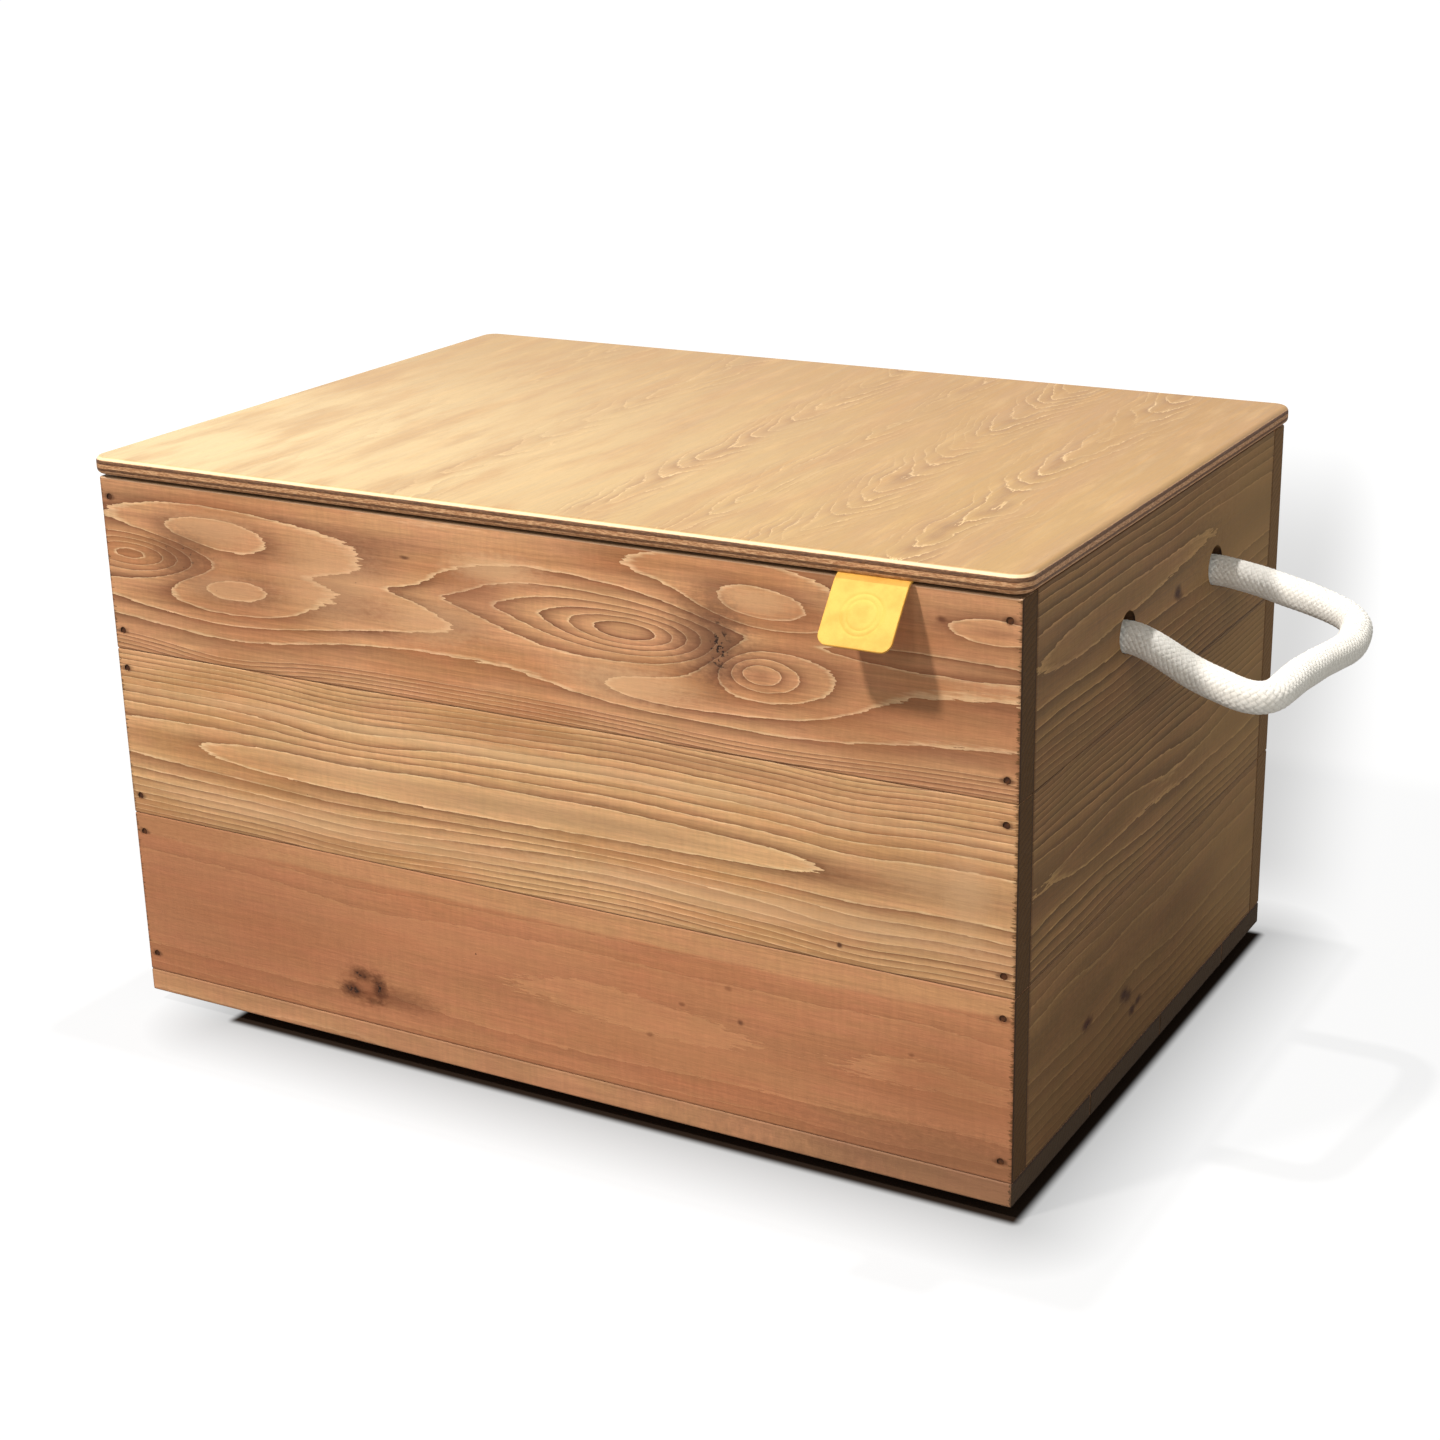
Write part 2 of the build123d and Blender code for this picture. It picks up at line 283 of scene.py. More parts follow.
def blend(tree, factor, first, second, kind):
    unused = [None] * 5  # the node's number and vector sockets
    settings = dict(data_type="RGBA", blend_type=kind)
    return output(tree, "Mix", factor, *unused, first, second, out=2, **settings)


def label(name):
    """A socket's label from its name in the script."""
    return name.replace("_", " ").capitalize()


def new_group(name, **inputs):
    """An empty shader group, and a signal for each of its inputs."""
    group = bpy.data.node_groups.new(name, "ShaderNodeTree")
    for key, start in inputs.items():
        kind = "NodeSocketFloat"
        if isinstance(start, tuple):
            kind = "NodeSocketColor" if len(start) == 4 else "NodeSocketVector"
        socket = group.interface.new_socket(label(key), in_out="INPUT", socket_type=kind)
        socket.default_value = start
    given = group.nodes.new("NodeGroupInput")
    return group, [Signal(given.outputs[label(key)]) for key in inputs]


def put_out(group, **signals):
    """Gives a group its outputs."""
    for key, signal in signals.items():
        kind = "NodeSocketColor" if signal.socket.type == "RGBA" else "NodeSocketFloat"
        group.interface.new_socket(label(key), in_out="OUTPUT", socket_type=kind)
    end = group.nodes.new("NodeGroupOutput")
    for key, signal in signals.items():
        feed(end.inputs[label(key)], signal)
    return group


def use(tree, group, **values):
    """Places a group in a tree, and returns its outputs by name."""
    node = tree.nodes.new("ShaderNodeGroup")
    node.node_tree = group
    for key, value in values.items():
        feed(node.inputs[label(key)], value)
    return {socket.name.lower(): Signal(socket) for socket in node.outputs}


def new_material(name):
    material = bpy.data.materials.new(name)
    material.use_nodes = True
    tree = material.node_tree
    return material, tree, tree.nodes["Principled BSDF"]


def finish(shader, colour, roughness, relief, depth, strength, **plain):
    """Feeds a shader its colour, roughness and relief, and sets its plain values."""
    feed(shader.inputs["Base Color"], colour)
    feed(shader.inputs["Roughness"], roughness)
    for key, value in plain.items():
        shader.inputs[key.replace("_", " ")].default_value = value
    bump = shader.id_data.nodes.new("ShaderNodeBump")
    bump.inputs["Strength"].default_value = strength
    bump.inputs["Distance"].default_value = depth * MM
    feed(bump.inputs["Height"], relief)
    feed(shader.inputs["Normal"], Signal(bump.outputs[0]))


def object_place(tree, order="XYZ"):
    """Object coordinates in millimetres, with their axes put in the given order."""
    place = output(tree, "TexCoord", out="Object") * 1000
    if order == "XYZ":
        return place
    parts = dict(zip("XYZ", place.split()))
    return join(tree, *(parts[axis] for axis in order))


def facing(tree, axis):
    """How squarely a face looks along an axis, either way, from 0 to 1."""
    way = tuple(float(letter == axis) for letter in "XYZ")
    return abs(output(tree, "TexCoord", out="Normal").calc("DOT_PRODUCT", way))


# ---- camera, light and floor


def new_object(name, data):
    """An object at the origin, in the scene."""
    made = bpy.data.objects.new(name, data)
    bpy.context.scene.collection.objects.link(made)
    return made


def mesh_of(name, shape):
    """The mesh of a finished bmesh, which ends it."""
    mesh = bpy.data.meshes.new(name)
    shape.to_mesh(mesh)
    shape.free()
    return mesh


def add_camera():
    data = bpy.data.cameras.new("camera")
    data.lens = LENS
    data.sensor_width = SENSOR
    data.clip_start = 0.05
    data.clip_end = 30
    camera = new_object("camera", data)
    forward = Vector(CAMERA_FORWARD).normalized()
    right = Vector(CAMERA_RIGHT).normalized()
    up = right.cross(forward).normalized()
    turn = Matrix((right, up, -forward)).transposed().to_4x4()
    camera.matrix_world = Matrix.Translation(CAMERA_PLACE) @ turn
    bpy.context.scene.camera = camera


def add_lamp(name, target, travel, distance, size, power, colour):
    data = bpy.data.lights.new(name, "AREA")
    data.shape = "DISK"
    data.size = size
    data.energy = power
    data.color = colour
    lamp = new_object(name, data)
    travel = Vector(travel).normalized()
    lamp.location = Vector(target) - travel * distance
    lamp.rotation_euler = travel.to_track_quat("-Z", "Y").to_euler()


def end_tree(tree, kind, surface):
    feed(tree.nodes.new("ShaderNodeOutput" + kind).inputs["Surface"], surface)


def add_world():
    """A faint sky that lights the box, and plain white behind it and in what it reflects."""
    world = bpy.data.worlds.new("world")
    bpy.context.scene.world = world
    world.use_nodes = True
    tree = world.node_tree
    tree.nodes.clear()
    seen = output(tree, "LightPath", out="Is Camera Ray")
    for ray in ("Is Glossy Ray", "Is Transmission Ray"):
        seen = seen.calc("MAXIMUM", output(tree, "LightPath", out=ray))
    sky = output(tree, "Background", SKY_COLOUR, SKY_STRENGTH)
    white = output(tree, "Background", WHITE, 1)
    end_tree(tree, "World", output(tree, "MixShader", seen, sky, white))


def gap_from_box(place):
    """How far a place on the floor lies outside the shade painted under the box."""
    middle = (LIT_END / 2 * MM, BOX_SHIFT * MM, 0)
    half = ((BOX_HALF_LENGTH - LIT_END / 2) * MM, (BOX_HALF_DEPTH - 2) * MM, 0)
    return (abs(place - middle) - half).calc("MAXIMUM", ORIGIN).calc("LENGTH")


def painted_shade_behind(place):
    """The soft shade painted on the floor behind the box and to its right."""
    back = place.split()[1]
    shade = back.span(*DUSK_NEAR) * back.span(*DUSK_FAR, 1, 0) * DUSK_STRENGTH
    for point, way, fade in DUSK_EDGES:
        shade *= (place - point).calc("DOT_PRODUCT", way).span(*fade, 1, 0)
    return shade


def floor_material():
    """Pale to the camera, with shade painted under the box, round its foot and behind it, and a
    quieter grey as it lights the box.
    """
    material, tree, _ = new_material("floor")
    tree.nodes.clear()
    place = output(tree, "TexCoord", out="Object")
    gap = gap_from_box(place)
    outside_painted_shade = gap.span(0, FLOOR_EDGE)
    glow_with_foot_shade = gap.span(0, FLOOR_FOOT_SHADE, FLOOR_FOOT_SHADE_GLOW, FLOOR_GLOW, smooth=False)
    far = gap.span(*FLOOR_BRIGHTENS, 0, 1 - FLOOR_GLOW)
    glow = output(tree, "Emission", None, (glow_with_foot_shade + far - painted_shade_behind(place)) * outside_painted_shade)
    pale = output(tree, "BsdfDiffuse", outside_painted_shade.mix(FLOOR_PAINTED_SHADE, FLOOR_TINT))
    shown = output(tree, "AddShader", pale, glow)
    bounce = output(tree, "BsdfDiffuse", FLOOR_BOUNCE)
    seen = output(tree, "LightPath", out="Is Camera Ray")
    end_tree(tree, "Material", output(tree, "MixShader", seen, bounce, shown))
    return material


def add_floor():
    shape = bmesh.new()
    bmesh.ops.create_grid(shape, x_segments=1, y_segments=1, size=FLOOR_HALF_SIZE)
    mesh = mesh_of("floor", shape)
    mesh.materials.append(floor_material())
    new_object("floor", mesh)


# ---- shared effects

KNOT_HEART = "2a170e"
KNOT_DEPTH = 60  # a knot's reach through its board
END_RING_WIDTH = 3.1
END_PITH = (-55, 30)  # from the middle of a board's end, across and through the board


def make_swell():
    """Adds a rounded hill or hollow to the field whose contours are the growth rings."""
    group, (field, place, centre, reach, height) = new_group(
        "swell", field=0, place=ORIGIN, centre=ORIGIN, reach=(1, 1, 1), height=0
    )
    away = (place - centre) / reach
    hill = (away.calc("DOT_PRODUCT", away) * -1).calc("EXPONENT")
    return put_out(group, field=field + hill * height)


def make_ring_field():
    """The field of a plain sawn board: highest along its crown, falling away to both edges."""
    start = dict(peak=1, crown=0, spread=40, foot=-1000, foot_slope=0, waver=0.15, seed=0)
    group, given = new_group("ring field", place=ORIGIN, **start)
    place, peak, crown, spread, foot, foot_slope, waver, seed = given
    _, across, through = place.split()
    moved = place + join(group, 0, 0, seed)
    slow = moved.noise((150, 45, 60), 1) - 0.5
    quick = moved.drift((9, 1.1, 9), 2, 0.5, 0.22)
    away = (across - crown) / spread
    below = (foot - across).calc("MAXIMUM", 0)
    field = peak - away * away - below * foot_slope + slow * waver + quick + through * 0.05
    return put_out(group, field=field)


def make_rings():
    """Growth rings from a field: late wood darkens up to a sharp edge with a pale line on it."""
    group, (field,) = new_group("rings", field=0)
    part = field.calc("FRACT")
    late = part.span(0.18, 1, smooth=False) ** 1.5
    line = part.span(0, 0.14, 1, 0)
    whole = field.calc("FLOOR")
    ring = output(group, "TexWhiteNoise", None, whole, noise_dimensions="1D")
    return put_out(group, late=late, line=line, ring=ring)


def make_fibre():
    """Fine fibres along the grain, the planer's faint ripple across it, and drifts of colour."""
    group, (place, seed) = new_group("fibre", place=ORIGIN, seed=0)
    place += seed
    return put_out(
        group,
        streak=place.noise((70, 1.6, 6), 3, 0.6),
        fine=place.noise((8, 0.6, 0.6), 3, 0.65),
        ripple=place.noise((2.2, 14, 40), 2, 0.6),
        patch=place.noise((120, 26, 60), 2),
        mottle=place.noise((34, 9, 20), 4, 0.62),
    )


def make_knot():
    """Tints the wood round a knot, with a gnarled dark heart where there are speckles."""
    spot = dict(place=ORIGIN, centre=ORIGIN, reach=(1, 1, 1))
    look = dict(halo=WHITE, strength=0.5, speckle=0.5)
    group, given = new_group("knot", colour=WHITE, **spot, **look)
    colour, place, centre, reach, halo, strength, speckle = given
    far = ((place - centre) / reach).calc("LENGTH") + place.drift((4, 2.5, 6), 3, 0.65, 0.9)
    around = far.span(0.25, 1.25, 1, 0) * strength
    open_at = 1 - speckle * 0.5
    specks = place.noise((1.7, 1.9, 4), 2).span(open_at - 0.25, open_at - 0.17)
    heart = far.span(0.2, 0.6, 1, 0) * specks
    colour = colour.tint(around, halo).tint(heart, KNOT_HEART)
    return put_out(group, colour=colour, mask=(around * 0.3).calc("MAXIMUM", heart))


def make_arris():
    """A mask along the edges of a squared block, from the depth below its three pairs of faces."""
    group, (place, depth) = new_group("arris", place=ORIGIN, depth=ORIGIN)
    x, y, z = depth.split()
    nearer = x.calc("MINIMUM", y)
    farther = x.calc("MAXIMUM", y)
    second = nearer.calc("MAXIMUM", farther.calc("MINIMUM", z))
    second *= place.noise((6, 2, 6), 3, 0.6) + 0.5
    return put_out(group, mask=second.span(0, 2.2, 1, 0))


def make_nail_stain():
    """Dark stain round the nails at both ends of a board."""
    group, (place, middle) = new_group("nail stain", place=ORIGIN, middle=ORIGIN)
    away = (abs(place - middle) - (NAIL_ALONG, NAIL_ACROSS, 0)) * (0.55, 1, 0)
    far = away.calc("LENGTH") * (place.noise((3, 1.2, 3), 2) + 0.5)
    return put_out(group, mask=far.span(1, 2.6, 1, 0))


def make_end_grain():
    """Sawn end grain: ring arcs about a pith, with open pores."""
    group, (place, pith) = new_group("end grain", place=ORIGIN, pith=ORIGIN)
    away = (place - pith) * (0, 1, 1)
    far = away.calc("LENGTH") + place.noise((30, 12, 12), 2) * 4
    arc = (far / END_RING_WIDTH).calc("FRACT") ** 2
    return put_out(group, arc=arc, pore=place.noise((0.8, 0.7, 0.7), 3, 0.7))


SWELL = make_swell()
RING_FIELD = make_ring_field()
RINGS = make_rings()
FIBRE = make_fibre()
KNOT = make_knot()
ARRIS = make_arris()
NAIL_STAIN = make_nail_stain()
END_GRAIN = make_end_grain()


# ---- wood

# Tones of a board: pale early wood, dark late wood, the line between two rings, and the patches
# and soil that drift over them
WARM_PINE = dict(early="d49f76", late="7b4c34", line="f4cfa6", patch="b67b51", soil="85593f")
GOLD_PINE = dict(early="deae80", late="76482a", line="fad9ad", patch="bf8a5b", soil="8f684a")
DULL_PINE = dict(early="936f48", late="4b331b", line="bc9565", patch="7b5a39", soil="543b24")
RED_PINE = dict(early="c18661", late="9f6849", line="cd966c", patch="b87955", soil="8a5a40")
PALE_PINE = dict(early="cb9670", late="a37556", line="d8ab85", patch="b98363", soil="8a654b")
INSIDE_PINE = dict(early="d9b98c", late="b8905f", line="e2c79b", patch="cba676", soil="9a7a52")
# The two casts that every board's colour drifts between
ROSY_CAST = (1.025, 0.985, 0.985, 1)
GREEN_CAST = (0.975, 0.995, 0.95, 1)

# The flames of the front boards. Each row is how far along and how high the swell lies, its reach
# along and up, and how many rings it lifts.
FRONT_TOP_SWELLS = (
    (-229.5, 250, 37.5, 9.5, -4.4),
    (-180, 267, 37.5, 9.5, 1.35),
    (-167.5, 238.5, 32.5, 6.5, 1.2),
    (-164.5, 251.5, 107.5, 27.5, 1.3),
    (-164.5, 227.8, 75, 8.5, 1),
    (-87, 221.5, 65, 9, -0.45),
    (-72, 284, 105, 6, -0.4),
    (-67, 251, 75, 3.8, -0.55),
    (-57, 237.8, 50, 6.5, 0.45),
    (18, 252.8, 65, 15.5, -2.6),
    (63, 247.8, 37.5, 9.5, -4.4),
    (126.8, 268, 32.5, 9, 2),
    (101.8, 281.5, 62.5, 11.3, 1.2),
    (124, 237.8, 15.5, 7.5, 2.2),
    (133, 235.3, 37.5, 15, 1.9),
    (73, 221, 42.5, 8, 1.4),
    (143, 214, 75, 10, 0.3),
    (193, 254, 75, 4.5, -0.9),
    (235.5, 271.5, 22.5, 6, 1.2),
)

FRONT_MIDDLE_SWELLS = (
    (-17, 152.5, 165, 13, 1.35),
    (-150, 153, 40, 6, 0.45),
    (90, 153, 60, 6, 0.35),
    (-95, 171, 50, 5, -0.8),
    (60, 133, 110, 5, -0.6),
)

# Marks on the boards, each laid over the ones before it: drifts of paler or darker wood, painted
# light and shade, knots and specks. Each row is how far along and how high it lies, its reach along
# and up, its strength and tone, and for a knot how much dark speckle its heart has.
FRONT_TOP_MARKS = (
    (-178, 268, 34, 9, 0.55, "e2b48a"),
    (-170, 239, 30, 8, 0.5, "deb087"),
    (-105, 250, 36, 24, 0.5, "dcaf86"),
    (-48, 238, 34, 13, 0.5, "dfb289"),
    (-12, 268, 30, 9, 0.55, "e9bf95"),
    (60, 224, 40, 10, 0.6, "e3b78d"),
    (124, 270, 24, 7, 0.55, "e2b58a"),
    (-170, 245, 95, 55, 0.13, "86583c"),
    (-22, 253, 24, 15, 0.35, "93624a"),
    (-198, 252, 24, 15, 0.6, "613d2a", 0.2),
    (100, 250, 24, 24, 0.65, "643f2d"),
    (105, 248, 11, 26, 0.3, "5a3a2a", 0.42),
    (-62, 267.6, 3.5, 1, 0.8, "5f3a26"),
    (211, 274, 3, 1.8, 0.9, "5a2e1c"),
    (205, 240, 80, 60, 0.28, "8f5f42"),
)
FRONT_MIDDLE_MARKS = (
    (-20, 153, 190, 10, 0.3, "dcb98f"),
    (214, 156, 34, 12, 0.3, "e2bd94"),
    (224, 150, 12, 26, 0.3, "e2bd94"),
    (215, 130, 90, 60, 0.25, "96694a"),
    (-110, 124, 150, 10, 0.35, "dfb891"),
    (120, 128, 140, 9, 0.4, "dfb891"),
    (60, 191, 260, 5, 0.3, "8a5a3a"),
    (-20, 178, 260, 5, 0.3, "ecc89c"),
    (-140, 138, 160, 5, 0.32, "8f5f3b"),
    (-160, 113, 110, 6, 0.32, "8f5f3b"),
    (163, 117, 1.6, 1.6, 0.9, "4a2a1a"),
)
FRONT_BOTTOM_MARKS = (
    (70, 52, 80, 16, 0.35, "cb9066"),
    (-190, 62, 120, 60, 0.3, "a0664a"),
    (-225, 104, 70, 12, 0.55, "ae7550"),
    (222, 52, 50, 34, 0.4, "9c6848"),
    (225, 24, 110, 16, 0.5, "7c533b"),
    (-30, 74, 120, 14, 0.3, "cb8d66"),
    (-86, 36.5, 34, 7, 0.5, "6e3f28"),
    (-103, 39, 17, 13, 0.5, "7a4226"),
    (-112, 36, 8.5, 5, 0.8, "48200c", 0.56),
    (-105.5, 45.5, 8, 4, 0.75, "4b230e", 0.56),
    (-95, 40, 5, 8.5, 0.75, "48200c", 0.52),
    (-99, 31.5, 5, 2.5, 0.5, "56301a", 0.3),
    (-104.5, 39, 6.5, 3.2, 0.5, "b47553"),
    (106, 83.5, 2.6, 1.5, 0.5, "6a3a22"),
    (112, 67.4, 1.8, 1.8, 0.7, "5a3020"),
    (81, 70, 2.2, 1.2, 0.6, "6a3a22"),
    (63, 50.4, 2.4, 1.4, 0.5, "6a3a22"),
    (198, 71, 1.8, 1.2, 0.5, "6a3a22"),
)
RIGHT_TOP_MARKS = (
    # Painted light: paler towards the back of the end
    (140, 250, 100, 60, 0.4, "b38e5c"),
    (26, 239, 5.5, 4.5, 1, "3c1f0e", 0.3),
    (30, 236, 5, 2.5, 0.7, "4a2a16"),
)
RIGHT_BOTTOM_MARKS = (
    # Painted light and shade: paler towards the back of the end, darker towards its front and
    # bottom
    (150, 60, 90, 60, 0.3, "a98554"),
    (-70, 40, 190, 60, 0.4, "543a20"),
    (-76, 59, 7.5, 3.6, 1, "41200f", 0.4),
    (-28, 53, 6.5, 4.5, 1, "3c2010", 0.4),
    (-22, 50, 5, 3.5, 0.9, "3c2010", 0.4),
    (-16, 40, 5, 3.5, 1, "3c2010", 0.4),
    (-8, 42, 5, 2.5, 0.9, "3c2010", 0.3),
)

# How each board grew and what marks it. peak, crown, spread, foot, foot_slope and waver shape its
# ring field, and a bend is how far along the grain rises, over what reach, and by how much.
FACE_BOARDS = {
    "front_board_top": dict(
        tones=WARM_PINE, seed=3, peak=1.63, crown=270.3, spread=40.5, waver=0.2, foot=209,
        foot_slope=0.4, contrast=1, painted_highlight_height=286.4, marks=FRONT_TOP_MARKS,
        swells=FRONT_TOP_SWELLS, bends=((-174.5, 45, 6), (123, 65, 3.5)),
    ),
    "front_board_middle": dict(
        tones=GOLD_PINE, seed=11, peak=0.55, crown=152, spread=15, waver=1, contrast=0.95,
        swells=FRONT_MIDDLE_SWELLS, bends=((-100, 45, 3), (50, 50, -3), (170, 30, 2.5)),
        marks=FRONT_MIDDLE_MARKS,
    ),
    "front_board_bottom": dict(
        tones=RED_PINE, seed=29, peak=2, crown=60, spread=26, waver=1.6, contrast=0.5,
        streaks=0.55, sapwood=(97.5, "cf9d72"), marks=FRONT_BOTTOM_MARKS,
    ),
    "back_board_top": dict(
        tones=GOLD_PINE, seed=41, peak=1.2, crown=236, spread=16, waver=2.4,
        swells=((80, 240, 60, 10, 2.6), (-140, 238, 90, 9, -2)),
        marks=((28, 241, 11, 8, 0.6, GOLD_PINE["soil"], 0.5),),
    ),
    "back_board_middle": dict(
        tones=RED_PINE, seed=53, peak=0.7, crown=128, spread=20, waver=1.8, contrast=0.5,
        marks=((150, 170, 9, 7, 0.7, RED_PINE["soil"], 0.7),),
    ),
    "back_board_bottom": dict(
        tones=WARM_PINE, seed=67, peak=1.5, crown=70, spread=15, waver=2, contrast=0.6,
        swells=((-60, 66, 120, 12, 1.8),),
    ),
}
END_BOARDS = {
    "right_end_board_top": dict(
        tones=DULL_PINE, seed=5, peak=0.6, crown=250, spread=17, waver=1.6, contrast=1,
        swells=((-70, 254, 60, 9, 0.7), (40, 260, 70, 9, 0.6)), marks=RIGHT_TOP_MARKS,
    ),
    "right_end_board_middle": dict(
        tones=DULL_PINE, seed=17, peak=0.8, crown=146, spread=16, waver=2.4, contrast=1,
        swells=((-60, 150, 60, 9, 0.9), (80, 160, 50, 9, -0.8)),
        # Painted light: paler towards the back of the end
        marks=((140, 160, 90, 70, 0.35, "ad8956"),),
    ),
    "right_end_board_bottom": dict(
        tones=DULL_PINE, seed=23, peak=1, crown=74, spread=21, waver=2.6, contrast=0.6,
        marks=RIGHT_BOTTOM_MARKS,
    ),
    "left_end_board_top": dict(
        tones=GOLD_PINE, seed=31, peak=1.1, crown=244, spread=17, waver=1.8,
        swells=((70, 240, 50, 10, 1.6),),
    ),
    "left_end_board_middle": dict(
        tones=WARM_PINE, seed=37, peak=0.4, crown=160, spread=14, waver=2, contrast=0.7,
        marks=((60, 140, 8, 6, 0.6, WARM_PINE["soil"], 0.6),),
    ),
    "left_end_board_bottom": dict(
        tones=RED_PINE, seed=43, peak=1.3, crown=58, spread=20, waver=1.4, contrast=0.5,
    ),
}


def ring_contours(tree, place, seed, bends, swells, **rings):
    """A board's field, in which every whole number is the edge of a growth ring."""
    bent = place
    for along, reach, lift in bends:
        centre = (along, 0, 0)
        wide = (reach, FAR, FAR)
        raised = use(tree, SWELL, place=place, centre=centre, reach=wide, height=lift)["field"]
        bent += join(tree, 0, raised, 0)
    field = use(tree, RING_FIELD, place=bent, seed=seed, **rings)["field"]
    for along, height, reach, rise, lift in swells:
        spot = dict(centre=(along, height, 0), reach=(reach, rise, FAR))
        field = use(tree, SWELL, field=field, place=place, height=lift, **spot)["field"]
    return field


def with_sapwood(colour, place, height, tone):
    """A board's colour, paler above a wandering line."""
    above = place.split()[1] + place.drift((90, 30, 60), 2, 0.5, 9) - height
    return colour.tint(above.span(-1.2, 1.2, 0, 0.6), tone)


def clear_wood(place, ring, fibre, tones, contrast, streaks, sapwood):
    """A board's colour before its knots: rings, drifting patches, sapwood and fibres."""
    weight = ring["ring"].span(0, 1, 0.65, 1, smooth=False) * contrast
    colour = (ring["late"] * weight).mix(tones["early"], tones["late"])
    colour = colour.tint(fibre["patch"].span(0.42, 0.66, 0, 0.6), tones["patch"])
    if sapwood:
        colour = with_sapwood(colour, place, *sapwood)
    colour = colour.tint(ring["line"] * (0.75 * contrast), tones["line"])
    light = fibre["streak"].span(0.25, 0.75, 1 - 0.2 * streaks, 1 + 0.18 * streaks, smooth=False)
    light *= fibre["ripple"].span(0.3, 0.7, 0.95, 1.05, smooth=False)
    light *= fibre["fine"].span(0.3, 0.7, 0.91, 1.09, smooth=False)
    cast = fibre["mottle"].span(0.36, 0.62).mix(ROSY_CAST, GREEN_CAST)
    return colour.shade(light).shade(cast)


def with_marks(tree, colour, place, through, marks):
    """A board's colour with its marks, and a mask of how far each knot is sunk."""
    sunk = 0
    for along, height, reach, rise, strength, tone, *speckle in marks:
        spot = dict(centre=(along, height, through), reach=(reach, rise, KNOT_DEPTH))
        look = dict(halo=tone, strength=strength, speckle=speckle[0] if speckle else 0)
        mark = use(tree, KNOT, colour=colour, place=place, **spot, **look)
        colour = mark["colour"]
        sunk += mark["mask"]
    return colour, sunk


def with_torn_ends(colour, place, depth_along, tone):
    """A board's colour with the small dark chips that a saw tears along its end edges."""
    chips = place.noise((5, 0.9, 4), 3, 0.7).span(0.4, 0.75) * 3.2
    return colour.tint((depth_along - chips).span(-0.3, 0.3, 0.75, 0), tone)


def end_face(tree, place, middle, depth_through, tone, rim_strength):
    """The colour of a board's sawn end, darker at its rim, and its pores."""
    pith = (0, middle[1] + END_PITH[0], middle[2] + END_PITH[1])
    sawn = use(tree, END_GRAIN, place=place, pith=pith)
    dark = tuple(0.45 * part for part in srgb(tone)[:3]) + (1,)
    colour = (sawn["arc"] * 0.7).mix(tone, dark)
    colour = colour.tint(sawn["pore"].span(0.4, 0.75, 0, 0.5), dark)
    rim = depth_through.span(0.4, 2, rim_strength, 0)
    return colour.tint(rim, "2a180e"), sawn["pore"]


def wood_material(
    name, order, middle, half, tones, seed, bends=(), swells=(), marks=(), contrast=0.8,
    streaks=1, sapwood=None, painted_highlight_height=None, nailed=False, end_tone="6a4a30", end_rim=0.8,
    sawn_edge=False, **rings,
):
    """A softwood board, whose order, middle and half size put the grain first, then across it."""
    material, tree, shader = new_material(name)
    place = object_place(tree, order)
    depth = half - abs(place - middle)
    depth_along, depth_across, depth_through = depth.split()
    field = ring_contours(tree, place, seed, bends, swells, **rings)
    ring = use(tree, RINGS, field=field)
    fibre = use(tree, FIBRE, place=place, seed=seed)

    colour = clear_wood(place, ring, fibre, tones, contrast, streaks, sapwood)
    # A highlight painted along the board's top edge, where the lamps catch it under the lid
    if painted_highlight_height:
        rim = place.split()[1].span(painted_highlight_height, painted_highlight_height + 0.5, 0, 0.75)
        colour = colour.tint(rim, "efcfae")
    colour, sunk = with_marks(tree, colour, place, middle[2], marks)
    if nailed:
        stain = use(tree, NAIL_STAIN, place=place, middle=middle)["mask"]
        colour = colour.tint(stain * 0.6, "3f1c08")
    arris = use(tree, ARRIS, place=place, depth=depth)["mask"]
    colour = colour.tint(arris * 0.35, tones["soil"])
    colour = with_torn_ends(colour, place, depth_along, end_tone)
    # Shade painted on the boards' top and bottom faces, which darkens the gaps between the boards
    # and under the lid
    if sawn_edge:
        edge = facing(tree, "Z").span(0.75, 0.95, 0, 0.7) * depth_across.span(1, 3, 1, 0)
        colour = colour.tint(edge, "4a3020")

    on_end = facing(tree, order[0]).span(0.55, 0.85)
    end_colour, pore = end_face(tree, place, middle, depth_through, end_tone, end_rim)
    colour = colour.tint(on_end, end_colour)
    rough = fibre["streak"] * 0.22 + 0.5 + on_end * 0.2
    relief = ring["late"] * 0.35 + fibre["fine"] * 0.5 + fibre["ripple"] * 0.25
    relief = relief - sunk * 1.2 + on_end * pore * 1.2
    finish(shader, colour, rough, relief, 0.35, 0.7, Specular_IOR_Level=0.35)
    return material


def dress(node, material):
    """Gives a CAD node its material."""
    mesh = nodes[node].data
    mesh.materials.clear()
    mesh.materials.append(material)


def dress_wood(node, *block, **look):
    dress(node, wood_material(node, *block, **look))


def dress_face_boards():
    half = (BOX_HALF_LENGTH, BOARD_HEIGHT / 2, WALL_THICKNESS / 2)
    to_wall = BOX_HALF_DEPTH - WALL_THICKNESS / 2
    for node, look in FACE_BOARDS.items():
        side, _, level = node.split("_")
        if side == "front":
            y, ends = BOX_SHIFT - to_wall, dict(end_tone="573b1a", end_rim=0.8)
        else:
            y, ends = BOX_SHIFT + to_wall, dict(end_tone="84633f", end_rim=0.25)
        middle = (0, LEVELS[level], y)
        dress_wood(node, "XZY", middle, half, nailed=True, sawn_edge=True, **ends, **look)


